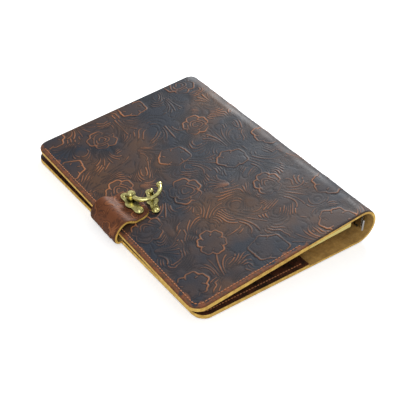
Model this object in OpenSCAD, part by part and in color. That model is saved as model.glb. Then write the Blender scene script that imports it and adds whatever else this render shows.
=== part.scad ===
// Leather ring binder planner, closed: a wrap cover with a round spine, a ring mechanism with pages, and a
// strap that comes round the fore edge and is held by a swing clasp. Millimetres. +X runs from the spine to
// the fore edge, +Y along the spine to the head, +Z up from the table.

/* [Cover] */
// Length of the cover along the spine
cover_length = 235; // [200:260]
// Width of the front cover, from the outside of the spine to the fore edge
cover_width = 171; // [168:190]
// Outside radius of the round spine
spine_radius = 15.5; // [15:0.5:18]
// Height of the front cover's top at the fore edge
fore_height = 13; // [12.6:0.1:15]
// Thickness of the cover leather
leather_t = 2.4; // [2:0.1:3]
// Thickness of the inside panels
lining_t = 1.6; // [1.2:0.1:2]
// Width of the inside panels, from the fore edge
lining_width = 103; // [80:110]
// Radius of the fore-edge corners
corner_radius = 10; // [4:16]
// How far the front cover reaches past the back cover, halfway along
overhang = 2; // [0:0.5:5]
// How much further it reaches at the head, and less at the tail, because the covers lie a little askew
askew = 2.5; // [0:0.5:2.5]

/* [Strap] */
// Width of the strap
strap_width = 37; // [30:44]
// Thickness of the strap
strap_t = 2.2; // [1.8:0.1:2.6]
// Length of the strap on the front cover
strap_reach = 31.5; // [28:0.5:42]
// How far the strap bows up off the front cover
strap_bow = 4.4; // [1:0.1:5]
// Middle of the strap, from the middle of the spine
strap_y = 0; // [-40:20]
// Length of the strap's sewn end inside the back cover
strap_sewn = 28; // [20:40]

/* [Rings] */
// Radius to the middle of the ring wire
ring_radius = 8; // [7.6:0.1:8.4]
// Diameter of the ring wire
wire_d = 2.4; // [2:0.1:2.6]
// Spacing of neighbouring rings
ring_pitch = 19; // [17:20]
// Distance between the two groups of three rings
ring_gap = 70; // [60:76]
// Half the length of the ring mechanism's plate
plate_half = 109.5; // [104:0.5:112]

/* [Pages] */
// Distance from the pages to the fore edge of the front cover
page_margin = 8.5; // [5.9:0.1:20]
// Height of a page
page_height = 218; // [190:220]
// Thickness of the page stack at the rings
page_t = 5.8; // [3:0.1:6]
// Width of the divider's tab
tab_width = 44; // [20:46]

/* [Clasp] */
// Distance between the two ears of the clasp base
ear_spacing = 22; // [19:26]
// Thickness of the clasp plates
clasp_t = 1.4; // [1:0.1:1.8]
// Distance from the swing arm's pivot to its ball tip
arm_length = 24.2; // [21:0.1:28]

/* [Hidden] */
$fn = 48;
// Gap between leather pieces that turn against each other
fold_gap = 0.3;
// Gap between metal pieces that turn against each other
turn_gap = 0.35;
// Gap round a rivet or pivot
fit_gap = 0.1;
// Half angle of the spine's moving part
spine_half = 45;
// Slope of the front cover, from its line that meets the round spine
far = cover_width - spine_radius;
drop = spine_radius - fore_height;
slope = 90 + atan2(drop, far) - acos(spine_radius / sqrt(far * far + drop * drop));
// Fore edge of the back cover
back_edge = cover_width - overhang;
// Middle line of the strap: a turn round the fore edge, a bow over it, and a flat run up the front cover
function off_front(a, c) = [
    cover_width - a * cos(slope) + c * sin(slope), fore_height + a * sin(slope) + c * cos(slope)
];
function curve(p, t) =
    p[0] * pow(1 - t, 3) + 3 * p[1] * t * pow(1 - t, 2) + 3 * p[2] * t * t * (1 - t) + p[3] * pow(t, 3);
up_front = [-cos(slope), sin(slope)];
// The strap folds just inside the front's fore edge, and always outside the back's edge, which lies askew
fold_in = 0.9;
skew_slope = askew / (cover_length / 2 - corner_radius);
back_at_strap = back_edge + skew_slope * (strap_width / 2 - strap_y);
bend_x = max(cover_width - fold_in, back_at_strap + fold_gap);
bend_z = leather_t + lining_t - strap_t / 2;
bow_a = strap_reach * 0.22;
// The clasp base sits on the flat run, a little in from the strap's tip
base_a = strap_reach - 8;
base_waist = 7;
base_half = base_waist * 0.78;
lay_a = base_a - base_half - fit_gap;
bow_top = off_front(bow_a, fold_gap + strap_t / 2 + strap_bow);
lay_start = off_front(lay_a, fold_gap + strap_t / 2);
// The turn reaches further out where the strap bows less, so that it stays clear of the fore edge
turn_slack = max(0, 4.4 - strap_bow) * 1.6;
turn_reach = (bow_top[1] - bend_z) * 0.48 + turn_slack;
turn_lead = bow_a + 1.9 + turn_slack;
bow_reach = (lay_a - bow_a) * 0.45;
strap_steps = 16;
turn_curve = [
    [bend_x, bend_z], [bend_x + turn_reach, bend_z], bow_top - turn_lead * up_front, bow_top
];
bow_curve = [bow_top, bow_top + bow_reach * up_front, lay_start - bow_reach * up_front, lay_start];
strap_line = concat(
    [for (i = [0:strap_steps]) curve(turn_curve, i / strap_steps)],
    [for (i = [1:strap_steps]) curve(bow_curve, i / strap_steps)],
    [off_front(strap_reach, fold_gap + strap_t / 2)]
);
strap_last = len(strap_line) - 1;
function heading(i) =
    let (d = strap_line[min(i + 1, strap_last)] - strap_line[max(i - 1, 0)]) i == 0 ? [1, 0] : d / norm(d);
function strap_side(i, side) = strap_line[i] + side * strap_t / 2 * [heading(i)[1], -heading(i)[0]];
// Outside ends of the object along X, and the shift that puts the middle at zero
rivet_head = 1;
strap_far = max([for (i = [0:strap_last]) strap_side(i, 1)[0]]);
shift = -(strap_far - rivet_head) / 2;
// Ring mechanism, seen from the middle of the round spine
inner_r = spine_radius - leather_t;
plate_w = 15;
plate_t = 1;
rim_t = 0.9;
rim_w = 3.6;
cheek_w = 5.2;
cheek_l = 6;
plate_x = sqrt(inner_r * inner_r - plate_w * plate_w / 4);
rail_x = plate_x - plate_t - turn_gap;
rail_t = 1.2;
rail_z = plate_w / 2 - rim_t - turn_gap;
ring_y = [
    -ring_gap / 2 - 2 * ring_pitch, -ring_gap / 2 - ring_pitch, -ring_gap / 2,
    ring_gap / 2, ring_gap / 2 + ring_pitch, ring_gap / 2 + 2 * ring_pitch
];
lever_y = plate_half - 3.5;
rivet_y = lever_y - 10.5;
rail_half = rivet_y - 5;
rivet_r = 1.5;
rivet_wide = 4;
rivet_top = 3;
washer_r = 2.8;
washer_t = 0.9;
pin_r = 0.9;
boss_r = 1.8;
pin_x = rail_x - 1.6;
tab_z = 5;
lever_out = 4.3;
lever_t = 1.2;
lever_long = 7;
lever_lean = 48;
// Pages, in the frame of the ring centre
divider_t = 0.8;
page_clear = 0.2;
page_drop = 3.1;
page_run = cover_width - page_margin - spine_radius;
page_tilt = asin((spine_radius - page_drop - leather_t - lining_t - page_clear) / page_run);
fore_gap = fore_height + tan(slope) * page_margin - (leather_t + lining_t) * (1 + 1 / cos(slope));
page_fore = fore_gap * 0.65;
page_half = (page_t + divider_t) / 2;
hole_d = 7;
hole_edge = 5.2;
hole_x = (ring_radius + sqrt(ring_radius * ring_radius - page_half * page_half)) / 2;
page_in = hole_x - hole_edge;
page_width = page_run / cos(page_tilt) - page_in;
tab_reach = 6.6;
tab_root = 8;
// Step from the divider sheet down to its tab, on both faces, so that their faces don't coincide
tab_inset = 0.1;
tab_y = -58;
// Clasp, in the frame of the front cover's top: a from the fore edge, b along the spine, c off the leather
base_c = fold_gap + strap_t;
arm_t = 3.7;
rivet_rise = 1.1;
arm_c = base_c + clasp_t + rivet_rise + turn_gap;
pivot_in = 6.4;
pivot_a = base_a + 2.5;
pivot_b = strap_y - ear_spacing / 2 + pivot_in;
keep_a = base_a + 15.1;
keep_b = strap_y + 5.65;
keep_turn = 20;
pivot_r = 2;
pivot_cap = 2.9;
cap_t = 1.2;
arm_bulge = 11;
arm_w = 3.5;
arm_turn = 9;
hub_r = 3.6;
ball_r = 2.6;
ear_r = 3.1;
keep_waist = 6;
pin_rad = 1.2;
pin_wide = 2.3;
pin_top = 1.3;
catch_r = 1.5;
knob_r = 2;
knob_rise = 0.8;

// A section in X and Z, drawn along Y from y0 to y1
module along_y(y0, y1) {
    translate([0, y1, 0])
        rotate([90, 0, 0])
            linear_extrude(y1 - y0)
                children();
}

// Moves a shape from the ring centre's frame to the object's
module at_rings() {
    translate([shift + spine_radius, 0, spine_radius])
        children();
}

// Moves a shape from the front cover's frame to the object's
module on_front() {
    translate([shift + cover_width, 0, fore_height])
        rotate([0, slope, 0])
            mirror([1, 0, 0])
                children();
}

// Points of an arc of the round spine, by angle
function arc(r, a0, a1, n) = [
    for (i = [0:n])
        let (a = a0 + (a1 - a0) * i / n) [spine_radius + r * cos(a), spine_radius + r * sin(a)]
];

// Plan of a cover with round corners at the fore edge, which can lie askew
module plan(x0, x1, skew = 0) {
    hull() {
        translate([x0, -cover_length / 2])
            square([1, cover_length]);
        for (s = [-1, 1])
            translate([x1 - corner_radius - s * skew, s * (cover_length / 2 - corner_radius)])
                circle(corner_radius);
    }
}

// Gap between cover pieces as an angle at the outside of the spine
gap_angle = fold_gap / spine_radius * 180 / PI;

module back_cover() {
    color("saddlebrown")
        translate([shift, 0, 0])
            intersection() {
                along_y(-cover_length / 2, cover_length / 2)
                    polygon(concat(
                        arc(spine_radius, 180 + spine_half + gap_angle, 270, 12),
                        [[back_edge + askew, 0], [back_edge + askew, leather_t]],
                        arc(inner_r, 270, 180 + spine_half + gap_angle, 12)
                    ));
                translate([0, 0, -1])
                    linear_extrude(3 * spine_radius)
                        plan(-2, back_edge, askew);
            }
}

module spine_leather() {
    color("saddlebrown")
        translate([shift, 0, 0])
            difference() {
                along_y(-cover_length / 2, cover_length / 2)
                    polygon(concat(
                        arc(spine_radius, 180 - spine_half, 180 + spine_half, 24),
                        arc(inner_r, 180 + spine_half, 180 - spine_half, 24)
                    ));
                for (y = [-rivet_y, rivet_y])
                    translate([-1, y, spine_radius])
                        rotate([0, 90, 0])
                            cylinder(h = leather_t + 2, r = rivet_r + fit_gap);
            }
}

module front_cover() {
    top = 90 - slope;
    inset = leather_t * sin(slope);
    color("saddlebrown")
        difference() {
            translate([shift, 0, 0])
                intersection() {
                    along_y(-cover_length / 2, cover_length / 2)
                        polygon(concat(
                            arc(spine_radius, 180 - spine_half - gap_angle, top, 12),
                            [
                                [cover_width, fore_height],
                                [cover_width - inset, fore_height - leather_t * cos(slope)]
                            ],
                            arc(inner_r, top, 180 - spine_half - gap_angle, 12)
                        ));
                    translate([0, 0, -1])
                        linear_extrude(3 * spine_radius)
                            plan(-2, cover_width);
                }
            on_front()
                keeper_holes(pin_rad + fit_gap);
        }
}

module back_lining() {
    color("sienna")
        translate([shift, 0, leather_t])
            linear_extrude(lining_t)
                difference() {
                    intersection() {
                        plan(0, back_edge, askew);
                        translate([back_edge - lining_width, -cover_length / 2])
                            square([lining_width + askew, cover_length]);
                    }
                    translate([back_edge - strap_sewn - fold_gap, strap_y - strap_width / 2 - fold_gap])
                        square([strap_sewn + 2 * askew + 2, strap_width + 2 * fold_gap]);
                }
}

module front_lining() {
    color("sienna")
        on_front()
            translate([0, 0, -leather_t - lining_t])
                linear_extrude(lining_t)
                    intersection() {
                        translate([cover_width, 0])
                            mirror([1, 0])
                                plan(0, cover_width - fold_gap);
                        translate([fold_gap, -cover_length / 2])
                            square([lining_width, cover_length]);
                    }
}

module strap_root() {
    color("peru")
        translate([shift + back_edge - strap_sewn, strap_y - strap_width / 2, leather_t])
            cube([strap_sewn + bend_x - back_edge - fold_gap, strap_width, lining_t]);
}

module strap_flap() {
    tip_r = strap_width * 0.25;
    tip = strap_side(strap_last, 1);
    color("peru")
        difference() {
            intersection() {
                translate([shift, 0, 0])
                    along_y(strap_y - strap_width / 2, strap_y + strap_width / 2)
                        polygon(concat(
                            [for (i = [0:strap_last]) strap_side(i, 1)],
                            [for (i = [strap_last:-1:0]) strap_side(i, -1)]
                        ));
                translate([shift, strap_y, -1])
                    linear_extrude(4 * spine_radius)
                        hull() {
                            translate([cover_width, -strap_width / 2])
                                square([strap_width / 2, strap_width]);
                            for (s = [-1, 1])
                                translate([tip[0] + tip_r, s * (strap_width / 2 - tip_r - 1)])
                                    circle(tip_r);
                        }
            }
            on_front()
                base_holes(pin_rad + fit_gap);
        }
}

// Rivet places of the clasp base and of the keeper
module base_holes(r) {
    for (s = [-1, 1])
        translate([base_a, strap_y + s * ear_spacing / 2, -1])
            cylinder(h = base_c + clasp_t + 2, r = r);
}

module keeper_holes(r) {
    at_keeper()
        for (s = [-1, 1])
            translate([0, s * ear_spacing / 2, -leather_t - 1])
                cylinder(h = leather_t + 4, r = r);
}

// Moves a shape to the keeper, which is riveted on a little askew
module at_keeper() {
    translate([keep_a, keep_b, 0])
        rotate([0, 0, keep_turn])
            children();
}

module ring_base_plate() {
    color("silver")
        at_rings()
            difference() {
                union() {
                    translate([-plate_x, -plate_half, -plate_w / 2])
                        cube([plate_t, 2 * plate_half, plate_w]);
                    for (z = [-plate_w / 2, plate_w / 2 - rim_t])
                        translate([-plate_x, -plate_half, z])
                            cube([rim_w, 2 * plate_half, rim_t]);
                    for (s = [-1, 1], z = [-plate_w / 2, plate_w / 2 - rim_t])
                        translate([-pin_x - cheek_w / 2, s * lever_y - cheek_l / 2, z])
                            cube([cheek_w, cheek_l, rim_t]);
                }
                for (y = [-rivet_y, rivet_y])
                    translate([-plate_x - 1, y, 0])
                        rotate([0, 90, 0])
                            cylinder(h = plate_t + 2, r = rivet_r + fit_gap);
                for (s = [-1, 1])
                    translate([-pin_x, s * lever_y, -plate_w])
                        cylinder(h = 2 * plate_w, r = pin_r + fit_gap);
            }
}

module rail(s) {
    color("silver")
        at_rings()
            translate([-rail_x, -rail_half, s > 0 ? fold_gap / 2 : -rail_z])
                cube([rail_t, 2 * rail_half, rail_z - fold_gap / 2]);
}

module rail_upper() {
    rail(1);
}

module rail_lower() {
    rail(-1);
}

// Half a ring, from the tip to the rail
module ring_half(y, s) {
    reach = 150;
    foot_x = ring_radius * cos(reach);
    foot_z = ring_radius * sin(reach);
    color("gainsboro")
        at_rings()
            translate([0, y, 0])
                mirror([0, 0, s > 0 ? 0 : 1]) {
                    rotate([90, 0, 0])
                        rotate([0, 0, 0.6])
                            rotate_extrude(angle = reach - 0.6)
                                translate([ring_radius, 0])
                                    circle(wire_d / 2);
                    translate([-rail_x + rail_t, 0, foot_z])
                        rotate([0, 90, 0])
                            cylinder(h = rail_x - rail_t + foot_x, r = wire_d / 2);
                    translate([foot_x, 0, foot_z])
                        sphere(wire_d / 2);
                }
}

module ring_upper_1() {
    ring_half(ring_y[0], 1);
}

module ring_upper_2() {
    ring_half(ring_y[1], 1);
}

module ring_upper_3() {
    ring_half(ring_y[2], 1);
}

module ring_upper_4() {
    ring_half(ring_y[3], 1);
}

module ring_upper_5() {
    ring_half(ring_y[4], 1);
}

module ring_upper_6() {
    ring_half(ring_y[5], 1);
}

module ring_lower_1() {
    ring_half(ring_y[0], -1);
}

module ring_lower_2() {
    ring_half(ring_y[1], -1);
}

module ring_lower_3() {
    ring_half(ring_y[2], -1);
}

module ring_lower_4() {
    ring_half(ring_y[3], -1);
}

module ring_lower_5() {
    ring_half(ring_y[4], -1);
}

module ring_lower_6() {
    ring_half(ring_y[5], -1);
}

// Thumb lever at one end of the plate, with its pin
module lever(s) {
    inside = plate_w / 2 - rim_t - turn_gap;
    color("gainsboro")
        at_rings()
            mirror([0, s > 0 ? 0 : 1, 0])
                translate([-pin_x, lever_y, 0]) {
                    translate([0, 0, -plate_w / 2])
                        cylinder(h = plate_w, r = pin_r);
                    translate([0, 0, -inside])
                        cylinder(h = 2 * inside, r = boss_r);
                    translate([0, 0, -inside])
                        cube([boss_r, lever_out + lever_t, 2 * inside]);
                    translate([0, lever_out, -tab_z])
                        rotate([0, 0, lever_lean])
                            cube([lever_long, lever_t, 2 * tab_z]);
                }
}

module lever_head() {
    lever(1);
}

module lever_tail() {
    lever(-1);
}

module mechanism_rivets() {
    color("silver")
        for (y = [-rivet_y, rivet_y])
            translate([shift, y, spine_radius])
                rotate([0, 90, 0]) {
                    translate([0, 0, -rivet_head])
                        cylinder(h = rivet_head, r1 = rivet_top, r2 = rivet_wide);
                    cylinder(h = spine_radius - plate_x + plate_t, r = rivet_r);
                    translate([0, 0, spine_radius - plate_x + plate_t])
                        cylinder(h = washer_t, r = washer_r);
                }
}

// Sheets with their ring holes, by the heights of the lower and upper side at the rings and at the fore edge
module sheets(low_in, low_out, high_in, high_out) {
    at_rings()
        rotate([0, page_tilt, 0])
            difference() {
                translate([page_in, 0, -page_drop])
                    along_y(-page_height / 2, page_height / 2)
                        polygon([[0, low_in], [page_width, low_out], [page_width, high_out], [0, high_in]]);
                for (y = ring_y)
                    translate([hole_x, y, -2 * page_t])
                        cylinder(h = 4 * page_t, d = hole_d);
            }
}

module page_stack() {
    color("cornsilk")
        sheets(0, 0, page_t, page_fore);
}

module tab_divider() {
    lean = (page_t - page_fore) / page_width;
    color("steelblue")
        union() {
            sheets(page_t, page_fore, page_t + divider_t, page_fore + divider_t);
            at_rings()
                rotate([0, page_tilt, 0])
                    translate([page_in + page_width, 0, page_fore - page_drop])
                        along_y(tab_y - tab_width / 2, tab_y + tab_width / 2)
                            polygon([
                                [-tab_root, tab_inset + tab_root * lean],
                                [tab_reach, tab_inset - tab_reach * lean],
                                [tab_reach, divider_t - tab_inset - tab_reach * lean],
                                [-tab_root, divider_t - tab_inset + tab_root * lean]
                            ]);
        }
}

// Outline of a clasp plate: a waist between two round ears
module ear_plate(spacing, waist) {
    for (s = [-1, 1])
        translate([0, s * spacing / 2])
            circle(ear_r);
    translate([-waist / 2, -spacing / 2])
        square([waist, spacing]);
    circle(waist * 0.78);
}

// Moves a shape to the swing arm's pivot, turned to the line from it to the ball tip
module at_pivot() {
    translate([pivot_a, pivot_b, 0])
        rotate([0, 0, arm_turn])
            children();
}

module clasp_base() {
    color("darkgoldenrod")
        on_front()
            difference() {
                translate([0, 0, base_c]) {
                    linear_extrude(clasp_t) {
                        translate([base_a, strap_y])
                            ear_plate(ear_spacing, base_waist);
                        translate([pivot_a, pivot_b])
                            circle(hub_r + fold_gap);
                    }
                    at_pivot()
                        cylinder(h = clasp_t + rivet_rise, r = hub_r);
                }
                base_holes(pin_rad + fit_gap);
                at_pivot()
                    cylinder(h = base_c + clasp_t + rivet_rise + 1, r = pivot_r + fit_gap);
            }
}

module clasp_rivets() {
    color("goldenrod")
        on_front()
            for (s = [-1, 1])
                translate([base_a, strap_y + s * ear_spacing / 2, 0]) {
                    translate([0, 0, fold_gap])
                        cylinder(h = strap_t + clasp_t, r = pin_rad);
                    translate([0, 0, base_c + clasp_t])
                        cylinder(h = rivet_rise, r1 = pin_wide, r2 = pin_top);
                }
}

module clasp_pivot() {
    stem_top = arm_c + arm_t + turn_gap;
    color("goldenrod")
        on_front()
            at_pivot() {
                translate([0, 0, base_c])
                    cylinder(h = stem_top - base_c, r = pivot_r);
                translate([0, 0, stem_top])
                    cylinder(h = cap_t, r1 = pivot_cap, r2 = pivot_r);
            }
}

// Middle line of the swing arm: a bow from the pivot to the ball tip
bow_r = (arm_length * arm_length / 4 + arm_bulge * arm_bulge) / (2 * arm_bulge);
bow_half = 2 * atan(2 * arm_bulge / arm_length);

// Moves a shape to the middle of the bow's circle
module at_bow() {
    at_pivot()
        translate([arm_length / 2, arm_bulge - bow_r, 0])
            children();
}

module swing_arm() {
    color("darkgoldenrod")
        on_front()
            translate([0, 0, arm_c])
                difference() {
                    union() {
                        at_pivot()
                            cylinder(h = arm_t, r = hub_r);
                        at_bow()
                            rotate([0, 0, 90 - bow_half])
                                rotate_extrude(angle = 2 * bow_half)
                                    translate([bow_r, arm_t / 2])
                                        circle(arm_w / 2);
                        at_pivot()
                            translate([arm_length, 0, arm_t / 2])
                                sphere(ball_r);
                    }
                    at_pivot()
                        translate([0, 0, -1])
                            cylinder(h = arm_t + 2, r = pivot_r + fit_gap);
                }
}

// Distance of the keeper's catch from the middle of the bow, just inside the closed arm, and its direction
catch_off = bow_r - arm_w / 2 - turn_gap - knob_r - fold_gap;
catch_turn = 71;

module keeper() {
    color("darkgoldenrod")
        on_front() {
            at_keeper()
                difference() {
                    linear_extrude(clasp_t)
                        ear_plate(ear_spacing, keep_waist);
                    for (s = [-1, 1])
                        translate([0, s * ear_spacing / 2, -1])
                            cylinder(h = clasp_t + 2, r = pin_rad + fit_gap);
                }
            at_bow()
                rotate([0, 0, catch_turn])
                    translate([catch_off, 0, 0]) {
                        cylinder(h = arm_c + arm_t + knob_rise, r = catch_r);
                        translate([0, 0, arm_c + arm_t + knob_rise])
                            sphere(knob_r);
                    }
        }
}

module keeper_rivets() {
    color("goldenrod")
        on_front()
            at_keeper()
                for (s = [-1, 1])
                    translate([0, s * ear_spacing / 2, 0]) {
                        translate([0, 0, -leather_t])
                            cylinder(h = leather_t + clasp_t, r = pin_rad);
                        translate([0, 0, clasp_t])
                            cylinder(h = rivet_rise, r1 = pin_wide, r2 = pin_top);
                    }
}

back_cover();
spine_leather();
front_cover();
back_lining();
front_lining();
strap_root();
strap_flap();
ring_base_plate();
rail_upper();
rail_lower();
ring_upper_1();
ring_upper_2();
ring_upper_3();
ring_upper_4();
ring_upper_5();
ring_upper_6();
ring_lower_1();
ring_lower_2();
ring_lower_3();
ring_lower_4();
ring_lower_5();
ring_lower_6();
lever_head();
lever_tail();
mechanism_rivets();
page_stack();
tab_divider();
clasp_base();
clasp_rivets();
clasp_pivot();
swing_arm();
keeper();
keeper_rivets();
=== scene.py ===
# %% [markdown]
# # A leather ring binder planner
# The planner lies closed on its back cover. One hide makes the back, the round spine and the front. A
# strap comes round the fore edge and a brass swing clasp holds it. The CAD model gives the shapes and
# nearly all sizes, so this script dresses it: tooled leather, thread, paper, nickel and brass.

# %% Load the frame
import math

import bpy
import numpy as np
from mathutils import Matrix, Vector


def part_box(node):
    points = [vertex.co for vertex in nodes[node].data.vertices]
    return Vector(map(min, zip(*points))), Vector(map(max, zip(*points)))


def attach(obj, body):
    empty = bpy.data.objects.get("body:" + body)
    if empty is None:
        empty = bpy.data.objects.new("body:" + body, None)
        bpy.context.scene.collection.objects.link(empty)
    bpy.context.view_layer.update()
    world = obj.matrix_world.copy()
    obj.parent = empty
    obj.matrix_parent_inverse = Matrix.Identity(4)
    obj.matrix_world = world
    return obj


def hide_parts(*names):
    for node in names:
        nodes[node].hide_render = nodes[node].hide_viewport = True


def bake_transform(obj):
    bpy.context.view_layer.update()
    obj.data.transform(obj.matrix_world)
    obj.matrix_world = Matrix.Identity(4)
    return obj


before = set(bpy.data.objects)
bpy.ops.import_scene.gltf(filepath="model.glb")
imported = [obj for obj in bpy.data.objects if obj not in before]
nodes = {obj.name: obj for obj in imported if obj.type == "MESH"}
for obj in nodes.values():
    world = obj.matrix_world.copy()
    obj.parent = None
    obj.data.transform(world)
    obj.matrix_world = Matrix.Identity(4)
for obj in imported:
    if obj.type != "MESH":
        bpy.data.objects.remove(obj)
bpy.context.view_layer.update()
MM = 0.001

# %% [markdown]
# ## Sizes from the frame
# The hide follows the CAD covers. All it needs is the radius of the spine, the thickness of the leather,
# the two fore edges and the slope of the front, and the boxes of the CAD nodes give them.

# %% Read the cover's sizes
spine_low, spine_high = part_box("spine_leather")
back_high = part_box("back_cover")[1]
front_low, front_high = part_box("front_cover")
lining_low, lining_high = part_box("back_lining")
SPINE_R = (spine_high[2] - spine_low[2]) / math.sqrt(2)
CENTRE_X = spine_low[0] + SPINE_R
LEATHER_T = lining_low[2]
LINING_T = lining_high[2] - lining_low[2]
HALF_Y = back_high[1]
# The boxes do not show how askew the back lies or how round the corners are.
ASKEW = 2.5 * MM
CORNER_R = 10 * MM
BACK_EDGE = back_high[0] - ASKEW
FORE_EDGE = front_high[0]
# The height and the slope of the front depend on each other, so a few rounds settle both.
slope = 0.11
for _ in range(20):
    fore_height = front_low[2] + LEATHER_T * math.cos(slope)
    reach = FORE_EDGE - CENTRE_X
    fall = SPINE_R - fore_height
    slope = math.pi / 2 + math.atan2(fall, reach) - math.acos(SPINE_R / math.hypot(reach, fall))
FORE_HEIGHT = fore_height
SLOPE = slope
print("spine radius", round(SPINE_R / MM, 2), "mm, front slope", round(math.degrees(SLOPE), 2), "degrees")

# %% [markdown]
# ## The hide's section
# Seen from the head, the outside of the hide is a line: along the table, half round the spine and down
# the front. A point on it is found from its length along that line, so a flat drawing of the tooling can
# be laid on the round.

# %% Outside line of the hide
BACK_FLAT = BACK_EDGE - CENTRE_X
TOP_ANGLE = math.pi / 2 - SLOPE
BACK_ROUND = SPINE_R * math.pi / 2
FRONT_ROUND = SPINE_R * (math.pi - TOP_ANGLE)
top_point = (CENTRE_X + SPINE_R * math.cos(TOP_ANGLE), SPINE_R + SPINE_R * math.sin(TOP_ANGLE))
FRONT_FLAT = math.hypot(FORE_EDGE - top_point[0], top_point[1] - FORE_HEIGHT)
MIDDLE = BACK_FLAT + BACK_ROUND
WHOLE = MIDDLE + FRONT_ROUND + FRONT_FLAT


def hide_line(s):
    """x, z and the outward normal of the hide's outside at each length s from the back's fore edge."""
    s = np.asarray(s, float)
    x, z = np.zeros_like(s), np.zeros_like(s)
    nx, nz = np.zeros_like(s), np.zeros_like(s)
    flat = s < BACK_FLAT
    x[flat], z[flat] = BACK_EDGE - s[flat], 0
    nx[flat], nz[flat] = 0, -1
    bent = (s >= BACK_FLAT) & (s < MIDDLE + FRONT_ROUND)
    angle = -math.pi / 2 - (s[bent] - BACK_FLAT) / SPINE_R
    nx[bent], nz[bent] = np.cos(angle), np.sin(angle)
    x[bent], z[bent] = CENTRE_X + SPINE_R * nx[bent], SPINE_R + SPINE_R * nz[bent]
    lid = s >= MIDDLE + FRONT_ROUND
    t = s[lid] - MIDDLE - FRONT_ROUND
    x[lid], z[lid] = top_point[0] + t * math.cos(SLOPE), top_point[1] - t * math.sin(SLOPE)
    nx[lid], nz[lid] = math.sin(SLOPE), math.cos(SLOPE)
    return x, z, nx, nz


def half_width(s):
    """Half the hide's length along the spine at s, with its round fore-edge corners."""
    into = np.maximum(np.maximum(CORNER_R - s, s - (WHOLE - CORNER_R)), 0)
    return HALF_Y - (CORNER_R - np.sqrt(np.maximum(CORNER_R**2 - into**2, 0)))


print("the hide is", round(WHOLE / MM), "x", round(2 * HALF_Y / MM), "mm when flat")

# %% [markdown]
# ## A drawing for the tooling
# The leather is pressed with flowers and leaves on a combed ground, an old and common kind of pattern. It
# could be a picture or a bump in the material, but then it would be flat at the edges. Here the lines are
# drawn in millimetres on a fine grid that keeps how high each place stands, and that height later lifts
# the mesh. A leaf is pressed as a plume, a fan of strokes, because the leaves on the real hide look like
# that.

# %% Lines, flowers and leaves
STEP = 0.5
LINE_WIDTH = 0.55
COMB_WIDTH = 0.45
COMB_HEIGHT = 0.7
LEAF_CLEAR = 1.3
draw_random = np.random.default_rng(11)


def along(points, spacing=0.35):
    """The points of a line at an even, close spacing."""
    points = np.asarray(points, float)
    length = np.r_[0, np.cumsum(np.hypot(*np.diff(points, axis=0).T))]
    at = np.arange(0, length[-1], spacing)
    return np.c_[np.interp(at, length, points[:, 0]), np.interp(at, length, points[:, 1])]


def ray(angle):
    """A step of one in the direction of each angle."""
    return np.stack([np.cos(angle), np.sin(angle)], -1)


def petal_radius(angle, size, petals, turn):
    """Outline of a flower: broad petals with notches between them."""
    lobe = np.abs(np.cos(petals * (angle - turn) / 2)) ** 0.6
    frill = 0.035 * np.sin(2 * petals * (angle - turn) + 3 * turn)
    return size * (0.76 + 0.2 * lobe + frill + 0.08 * np.sin(2 * angle + turn))


def flower_lines(centre, size, petals, turn):
    """Outline of a flower, the folds that run in from its notches, and in some the curls of a rosette."""
    ring = np.linspace(0, 2 * math.pi, 220)
    lines = [centre + ray(ring) * petal_radius(ring, size, petals, turn)[:, None]]
    for k in range(petals):
        notch = turn + (k + 0.5) * 2 * math.pi / petals
        out = np.linspace(0.55, 0.72, 8)
        lines.append(centre + size * out[:, None] * ray(notch + 0.8 * (0.72 - out)))
    if petals == 5 and turn > 3:
        for k, part in enumerate((0.62, 0.42, 0.22)):
            curl = turn + 2.3 * k + np.linspace(0, 4.4, 60)
            lines.append(centre + ray(curl) * (size * part * (1 + 0.12 * np.sin(3 * curl)))[:, None])
    return lines


def leaf_lines(root, heading, length):
    """A leaf pressed as a plume: strokes that curl away from its middle, the outer ones shorter."""
    lines = []
    side = ray(heading + math.pi / 2)
    t = np.linspace(0, 1, 30)[:, None]
    for k in np.linspace(-1, 1, int(draw_random.integers(5, 8))):
        bend = heading + 1.7 * k * t[:, 0] ** 1.5
        stroke = np.cumsum(ray(bend) * length * (1 - 0.3 * k * k) / 30, axis=0)
        start = root + 0.22 * length * k * side + 0.2 * length * k * k * ray(heading)
        lines.append(start + stroke)
    return lines


print("one drawing step is", STEP, "mm")

# %% [markdown]
# ## Chance with a rule
# A stamped hide looks even but never repeats. Places are drawn at random and kept only if they leave room
# for their neighbours. Waves of many directions, added up, give a smooth field that makes lines waver and
# fade.

# %% Spread and waves
def spread(wide, tall, gap, tries, taken=()):
    """Random places in a wide by tall field that keep a gap to each other and to those taken."""
    places = []
    for _ in range(tries):
        p = draw_random.uniform((0, 0), (wide, tall))
        near_one = any(np.hypot(*(p - q)) < gap for q in places)
        if not near_one and not any(np.hypot(*(p - q)) < room for q, room in taken):
            places.append(p)
    return places


def waves(u, v, length):
    """A smooth random field of waves about that long, mostly from -1 to 1."""
    total = np.zeros_like(u)
    count = 14
    for _ in range(count):
        way, phase = draw_random.uniform(0, 2 * math.pi, 2)
        k = 2 * math.pi / (length * draw_random.uniform(0.7, 1.6))
        total += np.cos(k * (u * math.cos(way) + v * math.sin(way)) + phase)
    return total / math.sqrt(count / 2)


# %% [markdown]
# ## Lay the drawing out
# Flowers come first and keep their distance. The ground between them is combed: its lines are the
# contours of a field that grows away from the nearest flower and wavers a little, so they flow round the
# flowers side by side, as a tool drawn over wet leather leaves them. Leaves lie on top of the combed
# ground.

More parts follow.
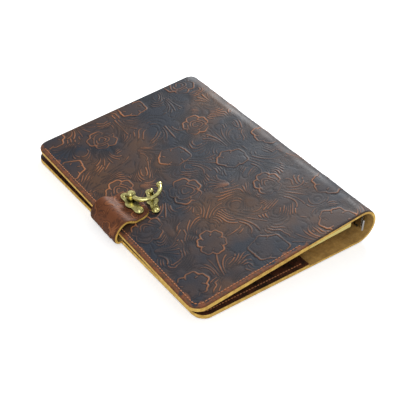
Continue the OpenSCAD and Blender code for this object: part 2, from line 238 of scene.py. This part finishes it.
# %% Draw the field
class Tooling:
    """Height of the pressed lines, and how far inside a flower a point lies, over a flat field in mm."""

    def __init__(self, wide, tall, gap, comb):
        self.shape = int(wide / STEP) + 2, int(tall / STEP) + 2
        self.half = tall / 2 * MM
        u, v = np.indices(self.shape) * STEP
        self.flowers = []
        for p in spread(wide, tall, gap, 1500):
            size = draw_random.uniform(0.29, 0.36) * gap
            self.flowers.append((p, size, int(draw_random.integers(5, 7)), draw_random.uniform(0, 6.28)))
        soft = 2 * comb
        closeness = np.zeros(self.shape)
        for p, size, petals, turn in self.flowers:
            rim = petal_radius(np.arctan2(v - p[1], u - p[0]), size, petals, turn)
            closeness += np.exp((rim - np.hypot(u - p[0], v - p[1])) / soft)
        outside = -soft * np.log(closeness + 1e-30)
        self.inside = np.clip(-outside / 3, 0, 1)
        level = outside / comb + 1.8 * waves(u, v, 12 * comb)
        steep = np.maximum(np.hypot(*np.gradient(level, STEP)), 0.12)
        off = np.abs(level - np.rint(level)) / steep
        strokes = np.clip(0.85 + 0.6 * waves(u, v, 7 * comb), 0, 1) * np.clip(outside / 2 - 0.6, 0, 1)
        strokes *= np.clip(2.0 / (comb * steep) - 0.6, 0, 1) * np.clip(4 * comb * steep - 1.4, 0, 1)
        self.ridge = COMB_HEIGHT * strokes * np.exp(-((off / COMB_WIDTH) ** 2))
        taken = [(p, size + 0.22 * gap) for p, size, _, _ in self.flowers]
        for p in spread(wide, tall, 0.68 * gap, 1200, taken):
            self.leaf(p, draw_random.uniform(0, 6.28), draw_random.uniform(0.4, 0.7) * gap)
        for flower in self.flowers:
            for k, line in enumerate(flower_lines(*flower)):
                self.press(along(line), 0.9 if k == 0 else 0.55)
        self.ridge *= np.clip(0.8 + 0.3 * waves(u, v, 10 * comb), 0.35, 1)

    def leaf(self, middle, heading, length):
        """Presses a leaf's strokes on cleared ground."""
        lines = [along(line) for line in leaf_lines(middle - length / 2 * ray(heading), heading, length)]
        for p in np.concatenate(lines):
            low = np.maximum(((p - LEAF_CLEAR) / STEP).astype(int), 0)
            high = np.maximum(((p + LEAF_CLEAR) / STEP).astype(int) + 1, 0)
            self.ridge[low[0] : high[0], low[1] : high[1]] = 0
        for line in lines:
            self.press(line, draw_random.uniform(0.35, 0.7))

    def press(self, points, height):
        """Raises the grid along a line."""
        near = np.arange(-4, 5)
        di, dj = (g.ravel() for g in np.meshgrid(near, near))
        i = np.rint(points[:, 0] / STEP).astype(int)[:, None] + di
        j = np.rint(points[:, 1] / STEP).astype(int)[:, None] + dj
        d = np.hypot(i * STEP - points[:, :1], j * STEP - points[:, 1:])
        ok = (i >= 0) & (j >= 0) & (i < self.shape[0]) & (j < self.shape[1])
        np.maximum.at(self.ridge, (i[ok], j[ok]), height * np.exp(-((d[ok] / LINE_WIDTH) ** 2)))

    def sample(self, u, v):
        """Ridge height from 0 to 1 and flower depth at points u, v in mm."""
        fu = np.clip(u / STEP, 0, self.shape[0] - 1.001)
        fv = np.clip(v / STEP, 0, self.shape[1] - 1.001)
        i, j = fu.astype(int), fv.astype(int)
        a, b = fu - i, fv - j
        out = []
        for grid in (self.ridge, self.inside):
            low = grid[i, j] * (1 - b) + grid[i, j + 1] * b
            high = grid[i + 1, j] * (1 - b) + grid[i + 1, j + 1] * b
            out.append(low * (1 - a) + high * a)
        return out


hide_tooling = Tooling(WHOLE / MM, 2 * HALF_Y / MM, gap=42, comb=2.7)
print("flowers on the hide:", len(hide_tooling.flowers))


# %% [markdown]
# ## Materials
# The leather is rubbed to orange brown on the raised lines. Beside each line the colour is darkened as
# painted shade, standing for the shadow in the pressed groove. The mesh carries three numbers per point,
# the ridge, the flower and the border, and the shader turns them into colour, with clouds of noise for
# wear. A cut edge is raw and yellow, and the flesh side is matt.

# %% Node helpers
def new_material(name, base, roughness, metallic=0.0):
    """A plain surface with its main values set on the shader."""
    mat = bpy.data.materials.new(name)
    mat.use_nodes = True
    shader = mat.node_tree.nodes["Principled BSDF"]
    shader.inputs["Base Color"].default_value = (*base, 1)
    shader.inputs["Roughness"].default_value = roughness
    shader.inputs["Metallic"].default_value = metallic
    return mat


def add(mat, kind, **values):
    """A node with its values set by name."""
    node = mat.node_tree.nodes.new(kind)
    for key, value in values.items():
        if hasattr(node, key):
            setattr(node, key, value)
        else:
            node.inputs[key.replace("_", " ")].default_value = value
    return node


def join(mat, out, into):
    """A link between two sockets."""
    mat.node_tree.links.new(out, into)


def noise(mat, scale, detail=4.0):
    """Clouds in the object's own space."""
    place = add(mat, "ShaderNodeTexCoord")
    cloud = add(mat, "ShaderNodeTexNoise", Scale=scale, Detail=detail)
    join(mat, place.outputs["Object"], cloud.inputs["Vector"])
    return cloud.outputs["Fac"]


def ramp(mat, fac, stops):
    """Colours at places from 0 to 1."""
    node = add(mat, "ShaderNodeValToRGB")
    for k, (at, colour) in enumerate(stops):
        stop = node.color_ramp.elements[k] if k < 2 else node.color_ramp.elements.new(at)
        stop.position = at
        stop.color = (*colour, 1)
    join(mat, fac, node.inputs["Fac"])
    return node.outputs["Color"]


def mixed(mat, fac, one, two):
    """One colour to another by a changing factor. The second may be a plain colour."""
    node = add(mat, "ShaderNodeMix", data_type="RGBA")
    join(mat, fac, node.inputs["Factor"])
    join(mat, one, node.inputs[6])
    if isinstance(two, tuple):
        node.inputs[7].default_value = (*two, 1)
    else:
        join(mat, two, node.inputs[7])
    return node.outputs[2]


def fine_bump(mat, height, strength, distance):
    """Grain too small for the mesh."""
    node = add(mat, "ShaderNodeBump", Strength=strength, Distance=distance)
    join(mat, height, node.inputs["Height"])
    join(mat, node.outputs["Normal"], mat.node_tree.nodes["Principled BSDF"].inputs["Normal"])


# %% [markdown]
# ## Leather
# Each layer is mixed over the last: clouds of blue black and brown, softer clouds inside the flowers, the
# sewn border, painted shade beside each line for the shadow of its groove, and the rubbed crest on top. The
# order is dye, then the painted groove shade, then wear.

# %% Leather, edge and suede
def tooled_leather(name, ground, worn, ridge, groove_shade, border):
    """Pressed leather: colour from the ridge, flower and border numbers that the mesh carries."""
    mat = new_material(name, ground, 0.5)
    shader = mat.node_tree.nodes["Principled BSDF"]
    shader.inputs["Specular IOR Level"].default_value = 0.17
    number = {}
    for key in ("ridge", "flower", "rim"):
        number[key] = add(mat, "ShaderNodeAttribute", attribute_name=key).outputs["Fac"]
    clouds = ramp(mat, noise(mat, 21, 6), [(0.45, ground), (0.66, worn)])
    petals = ramp(mat, noise(mat, 25, 5), [(0.35, ground), (0.8, worn)])
    body = mixed(mat, number["flower"], clouds, petals)
    strip = ramp(mat, noise(mat, 420, 3), [(0.35, worn), (0.62, border)])
    sewn = mixed(mat, number["rim"], body, strip)
    # Painted shade: beside each ridge, where the groove dips, the colour is darkened to stand for the
    # groove's shadow.
    groove_shade_mask = ramp(mat, number["ridge"], [(0.0, (0, 0, 0)), (0.1, (0.7,) * 3), (0.3, (0, 0, 0))])
    groove_shaded = mixed(mat, groove_shade_mask, sewn, groove_shade)
    rubbed = ramp(mat, noise(mat, 22, 4), [(0.36, worn), (0.62, ridge)])
    crest = ramp(mat, number["ridge"], [(0.15, (0, 0, 0)), (0.7, (1, 1, 1))])
    join(mat, mixed(mat, crest, groove_shaded, rubbed), shader.inputs["Base Color"])
    gloss = ramp(mat, noise(mat, 35, 5), [(0.3, (0.44,) * 3), (0.7, (0.62,) * 3)])
    join(mat, gloss, shader.inputs["Roughness"])
    fine_bump(mat, noise(mat, 900, 3), 0.3, 0.0003)
    return mat


def clouded(name, dark, light, scale, roughness):
    """A finish that wanders between two colours."""
    mat = new_material(name, light, roughness)
    colours = ramp(mat, noise(mat, scale, 5), [(0.3, dark), (0.7, light)])
    join(mat, colours, mat.node_tree.nodes["Principled BSDF"].inputs["Base Color"])
    return mat


# In each leather the near-black colour given beside the tooled lines is painted shade for the grooves.
cover_leather = tooled_leather(
    "cover_leather",
    ground=(0.020, 0.025, 0.037),
    worn=(0.082, 0.042, 0.024),
    ridge=(0.40, 0.150, 0.056),
    groove_shade=(0.009, 0.009, 0.012),
    border=(0.19, 0.062, 0.026),
)
strap_leather = tooled_leather(
    "strap_leather",
    ground=(0.075, 0.025, 0.011),
    worn=(0.16, 0.052, 0.020),
    ridge=(0.36, 0.130, 0.045),
    groove_shade=(0.032, 0.013, 0.008),
    border=(0.20, 0.080, 0.030),
)
raw_edge = clouded("raw_edge", (0.50, 0.28, 0.050), (0.86, 0.57, 0.13), 260, 0.75)
suede = clouded("suede", (0.30, 0.170, 0.044), (0.48, 0.29, 0.085), 240, 0.95)
fine_bump(suede, noise(suede, 1400, 4), 0.5, 0.0005)
lining_leather = clouded("lining_leather", (0.012, 0.007, 0.006), (0.085, 0.026, 0.013), 150, 0.55)
fine_bump(lining_leather, noise(lining_leather, 900, 3), 0.4, 0.0003)
lining_leather.node_tree.nodes["Principled BSDF"].inputs["Specular IOR Level"].default_value = 0.2
print("leathers:", cover_leather.name, strap_leather.name, lining_leather.name)

# %% [markdown]
# ## Thread, metal and paper
# Antique brass is blackened all over and then polished, so the black stays where no cloth reaches. The
# ambient occlusion node finds those hollows by itself, but it also darkens the plate under the arm and the
# places where parts meet, so its black is partly real patina and partly painted shade. The edge of the
# pages is a wave texture, whose bands stand for the leaves.

# %% Thread, metal and paper
thread = new_material("thread", (0.40, 0.150, 0.058), 0.7)
nickel = new_material("nickel", (0.55, 0.54, 0.52), 0.2, 1.0)
antique_brass = new_material("antique_brass", (0.86, 0.80, 0.34), 0.3, 1.0)
patina = ramp(
    antique_brass,
    noise(antique_brass, 320, 5),
    [(0.3, (0.34, 0.30, 0.10)), (0.65, (0.88, 0.82, 0.36))],
)
# The black from ambient occlusion is patina in the hollows and painted shade under the arm and between the
# parts.
hollows = add(antique_brass, "ShaderNodeAmbientOcclusion", samples=8, Distance=4 * MM)
patina_and_painted_shade = ramp(antique_brass, hollows.outputs["AO"], [(0.55, (1, 1, 1)), (0.92, (0, 0, 0))])
join(
    antique_brass,
    mixed(antique_brass, patina_and_painted_shade, patina, (0.045, 0.038, 0.014)),
    antique_brass.node_tree.nodes["Principled BSDF"].inputs["Base Color"],
)
paper = new_material("paper", (0.84, 0.74, 0.47), 0.85)
place = add(paper, "ShaderNodeTexCoord")
leaves = add(paper, "ShaderNodeTexWave", bands_direction="Z", Scale=420, Distortion=0.6)
join(paper, place.outputs["Object"], leaves.inputs["Vector"])
join(
    paper,
    ramp(paper, leaves.outputs["Fac"], [(0.2, (0.88, 0.70, 0.20)), (0.6, (0.97, 0.86, 0.34))]),
    paper.node_tree.nodes["Principled BSDF"].inputs["Base Color"],
)
divider_card = new_material("divider_card", (0.045, 0.15, 0.22), 0.7)
print("trim:", thread.name, nickel.name, antique_brass.name, paper.name, divider_card.name)


# %% [markdown]
# ## A sheet of tooled leather
# One function makes every tooled sheet. It takes a line to follow, a width at each place along it, and
# the tooling, and builds a closed shell: the lifted outside, a cut edge all round and the flesh side. The
# rim of the outside is pulled down a little, because a cut edge is always rubbed round.

# %% Relief of a sheet
RIDGE_HEIGHT = 0.5 * MM
GROOVE = 0.3
GROOVE_AT = 0.1
PETAL_HEIGHT = 0.15 * MM
BORDER = 5.6 * MM
BORDER_WAVE = 9
RIM_ROUND = 0.45 * MM
RIM_WIDE = 1.2 * MM
RIM_PLAIN = 0.6 * MM
FADE = 1.5 * MM


def sheet_relief(s, y, wide, ridge, flower, rim_ends, sewn):
    """How proud each point stands, how much of the tooling it keeps, and whether it is sewn border."""
    to_side = wide[:, None] - np.abs(y)
    to_end = np.full_like(to_side, 1.0)
    if rim_ends[0]:
        to_end = np.minimum(to_end, (s - s[0])[:, None])
    if rim_ends[1]:
        to_end = np.minimum(to_end, (s[-1] - s)[:, None])
    to_rim = np.minimum(to_side, to_end)
    to_seam = np.minimum(to_end, wide[:, None] - y)
    border = BORDER * ((s >= sewn[0]) & (s <= sewn[1]))[:, None]
    border = border * (0.8 + 0.2 * waves(s[:, None] / MM + 0 * y, y / MM, BORDER_WAVE))
    kept = np.clip(np.minimum(to_rim - RIM_PLAIN, to_seam - border) / FADE, 0, 1)
    groove = GROOVE * ridge / GROOVE_AT * np.exp(1 - ridge / GROOVE_AT)
    lift = (RIDGE_HEIGHT * (ridge - groove) + PETAL_HEIGHT * flower) * kept
    lift -= RIM_ROUND * np.clip(1 - to_rim / RIM_WIDE, 0, 1) ** 2
    return lift, kept, np.clip((border - to_seam) / MM, 0, 1)


def shell_faces(columns, rows):
    """Faces of a closed sheet: the outside grid, the cut edge round it and the flesh side."""
    grid = np.arange((columns + 1) * (rows + 1)).reshape(columns + 1, rows + 1)
    top = np.stack([grid[:-1, :-1], grid[1:, :-1], grid[1:, 1:], grid[:-1, 1:]], -1).reshape(-1, 4)
    edge = np.r_[grid[:-1, 0], grid[-1, :-1], grid[:0:-1, -1], grid[0, :0:-1]]
    low = grid.size + np.arange(len(edge))
    wall = np.stack([edge, low, np.roll(low, -1), np.roll(edge, -1)], -1)
    side_a = low[: columns + 1]
    end_b = low[columns : columns + rows + 1]
    side_b = low[columns + rows : 2 * columns + rows + 1][::-1]
    end_a = np.r_[low[2 * columns + rows :], low[:1]]
    flesh = [[side_a[k + 1], side_a[k], side_b[k], side_b[k + 1]] for k in range(1, columns - 1)]
    flesh.append([side_a[1], *end_a[::-1], side_b[1]])
    flesh.append([*end_b[::-1], side_a[columns - 1], side_b[columns - 1]])
    return top, wall, flesh, edge


# %% [markdown]
# ## From relief to mesh
# The outside is a full grid, because it carries the relief. The flesh side is smooth, so it needs only
# its rim, and long faces span it. The ridge, flower and border numbers go into the mesh as attributes for
# the shader.

# %% Build a sheet
def tooled_sheet(
    name, line, half, s0, s1, spacing, thickness, tooling, middle_y, finishes, rim_ends, sewn, skew=0.0
):
    """A closed leather shell between lengths s0 and s1 of a line, with relief on its outside."""
    columns = int(round((s1 - s0) / spacing))
    rows = int(round(2 * half(np.array([(s0 + s1) / 2]))[0] / spacing))
    s = np.linspace(s0, s1, columns + 1)
    x, z, nx, nz = line(s)
    wide = half(s)
    y = np.linspace(-1, 1, rows + 1)[None, :] * wide[:, None]
    drawn_at = np.repeat(s[:, None], rows + 1, 1) / MM
    ridge, flower = tooling.sample(drawn_at, (y + tooling.half) / MM)
    lift, kept, rim = sheet_relief(s, y, wide, ridge, flower, rim_ends, sewn)
    slant = -skew * y / (HALF_Y - CORNER_R) * np.clip(1 - s / BACK_FLAT, 0, 1)[:, None]
    outside_x = x[:, None] + slant + nx[:, None] * lift
    outside = np.stack([outside_x, y + middle_y, z[:, None] + nz[:, None] * lift], -1)
    flesh_z = np.repeat((z - nz * thickness)[:, None], rows + 1, 1)
    flesh = np.stack([slant + (x - nx * thickness)[:, None], y + middle_y, flesh_z], -1)
    top, wall, under, edge = shell_faces(columns, rows)
    points = np.r_[outside.reshape(-1, 3), flesh.reshape(-1, 3)[edge]]
    mesh = bpy.data.meshes.new(name)
    mesh.from_pydata(points.tolist(), [], top.tolist() + wall.tolist() + under)
    for finish in finishes:
        mesh.materials.append(finish)
    slots = np.r_[np.zeros(len(top)), np.ones(len(wall)), np.full(len(under), 2)].astype(np.int32)
    mesh.polygons.foreach_set("material_index", slots)
    mesh.polygons.foreach_set("use_smooth", slots == 0)
    pad = np.zeros(len(edge))
    for key, values in (("ridge", ridge * kept), ("flower", flower), ("rim", rim)):
        data = mesh.attributes.new(key, "FLOAT", "POINT").data
        data.foreach_set("value", np.r_[values.ravel(), pad].astype(np.float32))
    mesh.update()
    mesh.validate()
    obj = bpy.data.objects.new(name, mesh)
    bpy.context.scene.collection.objects.link(obj)
    return obj


print("ridges stand", RIDGE_HEIGHT / MM, "mm proud")

# %% [markdown]
# ## The hide
# The cover is one hide, but it bends at two joints, and a bending piece can cross only one joint. So it
# is two meshes that meet at the middle of the spine, where both follow the spine. The front is finer,
# since it is seen most.

# %% Back and front leather
FRONT_SPACING = 0.67 * MM
BACK_SPACING = 1.1 * MM
PANEL = BACK_EDGE - lining_low[0]


def on_hide(s, depth):
    """A point at length s of the hide, that deep under its outside, halfway along the spine."""
    x, z, nx, nz = (float(a[0]) for a in hide_line([s]))
    return (x - nx * depth, 0.0, z - nz * depth)


hide_finishes = [cover_leather, raw_edge, suede]
back_leather = tooled_sheet(
    "back_leather", hide_line, half_width, 0, MIDDLE, BACK_SPACING, LEATHER_T, hide_tooling, 0,
    hide_finishes, (True, False), (0, PANEL), ASKEW,
)
front_leather = tooled_sheet(
    "front_leather", hide_line, half_width, MIDDLE, WHOLE, FRONT_SPACING, LEATHER_T, hide_tooling, 0,
    hide_finishes, (False, True), (WHOLE - PANEL, WHOLE),
)
BEND = 6 * MM
fold_back = BACK_FLAT + BACK_ROUND / 2
fold_front = MIDDLE + BACK_ROUND / 2
on_hide(fold_back - BEND, 0)
on_hide(fold_back + BEND, 0)
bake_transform(back_leather)
on_hide(fold_front - BEND, 0)
on_hide(fold_front + BEND, 0)
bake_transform(front_leather)
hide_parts("back_cover", "spine_leather")
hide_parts("front_cover")
for piece in (back_leather, front_leather):
    print(piece.name, len(piece.data.polygons), "faces")

# %% [markdown]
# ## The strap
# The strap is a strip of redder leather that turns round the fore edge. It is the same kind of sheet on
# another line: a round turn, a bow that stands off the edge as stiff leather does, and a flat run under the
# clasp to a rounded tip. When it is unfolded a real strap bends over the whole turn and not at one crease.

# %% Strap line
# The strap's box gives its width and place. These other sizes are the part's own.
strap_low, strap_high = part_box("strap_flap")
STRAP_T, FOLD_GAP, STRAP_BOW, STRAP_REACH = 2.2 * MM, 0.3 * MM, 4.4 * MM, 31.5 * MM
STRAP_HALF = (strap_high[1] - strap_low[1]) / 2
STRAP_Y = (strap_high[1] + strap_low[1]) / 2
TIP_R = 0.5 * STRAP_HALF
FLAT_RUN = 13.56 * MM
BOW_AT = 0.22
TURN_OUT = 0.48
TURN_LEAD = 1.9 * MM
BOW_HANDLE = 0.45
STRAP_SPACING = 0.6 * MM


def off_front(a, c):
    """x, z of a point a from the fore edge on the front's top and c above it."""
    x = FORE_EDGE - a * math.cos(SLOPE) + c * math.sin(SLOPE)
    z = FORE_HEIGHT + a * math.sin(SLOPE) + c * math.cos(SLOPE)
    return np.array([x, z])


def curve(p, count=60):
    """Points of a curve with two handles."""
    t = np.linspace(0, 1, count)[:, None]
    return p[0] * (1 - t) ** 3 + 3 * p[1] * t * (1 - t) ** 2 + 3 * p[2] * t**2 * (1 - t) + p[3] * t**3


lie = FOLD_GAP + STRAP_T / 2
strap_start = np.array([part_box("strap_root")[1][0] + FOLD_GAP, lining_high[2] - STRAP_T / 2])
bow_a, lay_a = BOW_AT * STRAP_REACH, STRAP_REACH - FLAT_RUN
bow_top, lay_start = off_front(bow_a, lie + STRAP_BOW), off_front(lay_a, lie)
up_front = np.array([-math.cos(SLOPE), math.sin(SLOPE)])
turn_reach = TURN_OUT * (bow_top[1] - strap_start[1])
bow_reach = BOW_HANDLE * (lay_a - bow_a)
turn_handle = bow_top - (bow_a + TURN_LEAD) * up_front
strap_middle = np.r_[
    curve([strap_start, strap_start + [turn_reach, 0], turn_handle, bow_top]),
    curve([bow_top, bow_top + bow_reach * up_front, lay_start - bow_reach * up_front, lay_start])[1:],
    off_front(np.linspace(lay_a, STRAP_REACH, 40)[1:], lie).T,
]
way = np.gradient(strap_middle, axis=0)
way /= np.hypot(*way.T)[:, None]
strap_outer = strap_middle + STRAP_T / 2 * np.c_[way[:, 1], -way[:, 0]]
strap_at = np.r_[0, np.cumsum(np.hypot(*np.diff(strap_outer, axis=0).T))]
STRAP_LENGTH = strap_at[-1]


def strap_line(s):
    """x, z and outward normal of the strap's outside."""
    s = np.asarray(s, float)
    values = (strap_outer[:, 0], strap_outer[:, 1], way[:, 1], -way[:, 0])
    return tuple(np.interp(s, strap_at, each) for each in values)


def strap_half(s):
    """Half the strap's width: a light taper to a rounded tip."""
    x = strap_line(s)[0]
    tip = strap_outer[-1, 0] + TIP_R
    wide = STRAP_HALF - MM * np.clip((FORE_EDGE - x) / (FORE_EDGE - tip), 0, 1)
    return wide - (TIP_R - np.sqrt(np.maximum(TIP_R**2 - np.clip(tip - x, 0, TIP_R) ** 2, 0)))


strap_tooling = Tooling(STRAP_LENGTH / MM, 2 * STRAP_HALF / MM, gap=22, comb=2.3)
strap_piece = tooled_sheet(
    "strap_band", strap_line, strap_half, 0, STRAP_LENGTH, STRAP_SPACING, STRAP_T, strap_tooling, STRAP_Y,
    [strap_leather, raw_edge, suede], (False, True), (1, 0),
)
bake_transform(strap_piece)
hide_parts("strap_flap")
off_box = strap_outer[:, 0].max() - strap_high[0]
print("strap", round(STRAP_LENGTH / MM), "mm long,", round(off_box / MM, 3), "mm off the CAD strap's end")

# %% [markdown]
# ## Sewing
# Thread holds each inside panel along the fore edge and the head, and leaves a pocket that opens at the
# tail. A stitch is a short, thick grain of thread that dips into the leather at both ends, so each one is
# a small lens-shaped bead, and a loop lays them along the line.

# %% Stitches
STITCH_PITCH = 2.7 * MM
STITCH_LONG = 2.2 * MM
STITCH_WIDE = 1.0 * MM
STITCH_IN = 4 * MM
UNDER_SEAM = 0.15 * MM


def stitch_path(end, half, corner):
    """Points of a seam: along the fore edge from the tail, round the corner and along the head."""
    r = corner - STITCH_IN
    path = [(STITCH_IN, -half + corner)]
    for k in range(7):
        a = math.pi / 2 * (1 - k / 6)
        path.append((corner - r * math.sin(a), half - corner + r * math.cos(a)))
    path.append((end, half - STITCH_IN))
    return along(path, STITCH_PITCH)


def bead_faces(first, ring, stations):
    """Faces of one stitch, closed at both ends, whose points start at first."""
    faces = []
    for i in range(stations - 1):
        for k in range(ring):
            a, b = first + i * ring + k, first + i * ring + (k + 1) % ring
            faces.append((a, b, b + ring, a + ring))
    faces.append(tuple(first + k for k in reversed(range(ring))))
    faces.append(tuple(first + (stations - 1) * ring + k for k in range(ring)))
    return faces


def seam(name, path, place, body):
    """A row of stitches along path. place(a, y, c) turns a flat place and a height into a point."""
    points, faces = [], []
    ring, stations = 6, (-1, -0.7, 0, 0.7, 1)
    for here, ahead in zip(path[:-1], path[1:]):
        d = (ahead - here) / np.hypot(*(ahead - here))
        first = len(points)
        for t in stations:
            fat = STITCH_WIDE / 2 * math.sqrt(max(1 - t * t, 0.02))
            for k in range(ring):
                a = 2 * math.pi * k / ring
                side = fat * math.cos(a)
                flat = here + d * (t * STITCH_LONG / 2) + np.array([-d[1], d[0]]) * side
                points.append(place(flat[0], flat[1], fat * math.sin(a) * 0.8))
        faces += bead_faces(first, ring, len(stations))
    mesh = bpy.data.meshes.new(name)
    mesh.from_pydata(points, [], faces)
    mesh.materials.append(thread)
    mesh.polygons.foreach_set("use_smooth", [True] * len(faces))
    obj = bpy.data.objects.new(name, mesh)
    bpy.context.scene.collection.objects.link(obj)
    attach(obj, body)
    return obj


# %% [markdown]
# ## Four seams
# One thread shows on both faces of the leather, so each panel has a seam outside and one inside. Four
# small functions say where a flat place on the pattern lies on the front, under it, on the back's panel
# and under the back.

# %% Places for the seams
def on_front(a, y, c):
    """A point a from the fore edge on the front's top, c above it."""
    x, z = off_front(a, c)
    return (x, y, z)


def under_front(a, y, c):
    """A point on the inside of the front's panel."""
    return on_front(a, y, -LEATHER_T - LINING_T - c)


def on_back_panel(a, y, c):
    """A point on the inside of the back's panel, whose edge lies askew."""
    slant = ASKEW * y / (HALF_Y - CORNER_R) * (1 - a / BACK_FLAT)
    return (BACK_EDGE - a - slant, y, lining_high[2] + c)


def under_back(a, y, c):
    """A point on the outside of the back."""
    return (*on_back_panel(a, y, c)[:2], UNDER_SEAM - c)


seam_path = stitch_path(PANEL - 2 * MM, HALF_Y, CORNER_R)
for name, place, body in (
    ("front_seam", on_front, "front"),
    ("front_seam_inside", under_front, "front"),
    ("back_seam_inside", on_back_panel, "back"),
    ("back_seam", under_back, "back"),
):
    seam(name, seam_path, place, body)
print("stitches in a seam:", len(seam_path) - 1)

# %% [markdown]
# ## Linings, rings, pages and clasp
# These CAD solids already have their true shape. They get a finish, and a small bevel where the real edge
# is rounded, because a perfectly sharp edge never catches the light.

# %% Finish the CAD pieces
def finish_node(name, mat, bevel=0.0, segments=2):
    """Gives a CAD piece its material and a worn edge."""
    obj = nodes[name]
    obj.data.materials.clear()
    obj.data.materials.append(mat)
    if bevel:
        mod = obj.modifiers.new("worn_edge", "BEVEL")
        mod.width = bevel
        mod.segments = segments
        mod.limit_method = "ANGLE"
        mod.angle_limit = math.radians(40)


for name in nodes:
    if name.startswith(("ring_", "rail_", "lever_", "mechanism")):
        finish_node(name, nickel, 0.15 * MM if not name.startswith(("ring_u", "ring_l")) else 0)
    elif name.startswith(("clasp_", "swing_", "keeper")):
        finish_node(name, antique_brass, 0.35 * MM, 3)
for name, mat in (("back_lining", lining_leather), ("front_lining", lining_leather), ("strap_root", suede)):
    finish_node(name, mat, 0.2 * MM)
    nodes[name].data.materials.append(raw_edge)
    for face in nodes[name].data.polygons:
        face.material_index = int(abs(face.normal.z) < 0.5)
finish_node("page_stack", paper)
finish_node("tab_divider", divider_card)
print("finished", len(nodes), "CAD pieces")

# %% [markdown]
# ## Floor and room
# The planner lies on a white floor in a white room. Rays from the camera see both a little brighter than
# the light they give, so the ground is as pale as a studio's while the shadows stay.

# %% Floor and world
# The relief of the back stands a little below the CAD, so the floor does too.
FLOOR_DROP = 0.46 * MM
FLOOR_SIZE = 6
floor_mesh = bpy.data.meshes.new("floor")
half_floor = FLOOR_SIZE / 2
floor_mesh.from_pydata(
    [
        (-half_floor, -half_floor, 0),
        (half_floor, -half_floor, 0),
        (half_floor, half_floor, 0),
        (-half_floor, half_floor, 0),
    ],
    [],
    [(0, 1, 2, 3)],
)
floor = bpy.data.objects.new("floor", floor_mesh)
floor.location.z = -FLOOR_DROP
bpy.context.scene.collection.objects.link(floor)
floor_white = new_material("floor_white", (0.85, 0.85, 0.85), 0.9)
floor_shader = floor_white.node_tree.nodes["Principled BSDF"]
floor_shader.inputs["Emission Color"].default_value = (0.45, 0.45, 0.45, 1)
floor_seen = add(floor_white, "ShaderNodeLightPath").outputs["Is Camera Ray"]
join(floor_white, floor_seen, floor_shader.inputs["Emission Strength"])
floor_mesh.materials.append(floor_white)

world = bpy.data.worlds.new("studio")
bpy.context.scene.world = world
world.use_nodes = True
sky = world.node_tree.nodes["Background"]
sky.inputs["Color"].default_value = (1, 1, 1, 1)
sky.inputs["Strength"].default_value = 0.55
seen = add(world, "ShaderNodeBackground", Strength=1.0)
seen.inputs["Color"].default_value = (1, 1, 1, 1)
which = add(world, "ShaderNodeMixShader")
join(world, add(world, "ShaderNodeLightPath").outputs["Is Camera Ray"], which.inputs["Fac"])
join(world, sky.outputs["Background"], which.inputs[1])
join(world, seen.outputs["Background"], which.inputs[2])
join(world, which.outputs["Shader"], world.node_tree.nodes["World Output"].inputs["Surface"])
bpy.context.scene.view_settings.view_transform = "Standard"
print("floor", FLOOR_SIZE, "m wide")


# %% [markdown]
# ## Lamps and camera
# A broad lamp stands low behind the planner and rakes over the tooling, so that its relief shows. A weak
# one on the camera's side opens the shadows. The camera's place was fitted to corners of the planner in
# the photograph, so its angles are odd numbers.

# %% Lamps and camera
def soft_lamp(name, place, size, power):
    """A round area lamp that looks at the planner."""
    lamp = bpy.data.lights.new(name, "AREA")
    lamp.shape = "DISK"
    lamp.size = size
    lamp.energy = power
    obj = bpy.data.objects.new(name, lamp)
    obj.location = place
    obj.rotation_euler = (-Vector(place)).to_track_quat("-Z", "Y").to_euler()
    bpy.context.scene.collection.objects.link(obj)


soft_lamp("window", (-0.82, -0.66, 0.58), 0.5, 15)
soft_lamp("fill", (0.7, 0.6, 0.8), 0.9, 5)

AZIMUTH, ELEVATION, ROLL = (math.radians(a) for a in (143.07, 38.86, 2.39))
TARGET = Vector((spine_low[0] + 98.4 * MM, 21.37 * MM, 15 * MM))
DISTANCE = 677.7 * MM
SENSOR = 36
LENS_PER_FRAME = 858.0 / 400
back = Vector(
    (math.sin(AZIMUTH) * math.cos(ELEVATION), -math.cos(AZIMUTH) * math.cos(ELEVATION), math.sin(ELEVATION))
)
right = Vector((math.cos(AZIMUTH), math.sin(AZIMUTH), 0))
up = back.cross(right)
right, up = (
    right * math.cos(ROLL) + up * math.sin(ROLL),
    up * math.cos(ROLL) - right * math.sin(ROLL),
)
camera = bpy.data.objects.new("camera", bpy.data.cameras.new("camera"))
camera.data.sensor_width = SENSOR
camera.data.lens = SENSOR * LENS_PER_FRAME
camera.data.clip_start = 0.01
turned = Matrix((right, up, back)).transposed().to_4x4()
camera.matrix_world = Matrix.Translation(TARGET + back * DISTANCE) @ turned
bpy.context.scene.collection.objects.link(camera)
bpy.context.scene.camera = camera
print("lens", round(camera.data.lens, 1), "mm")
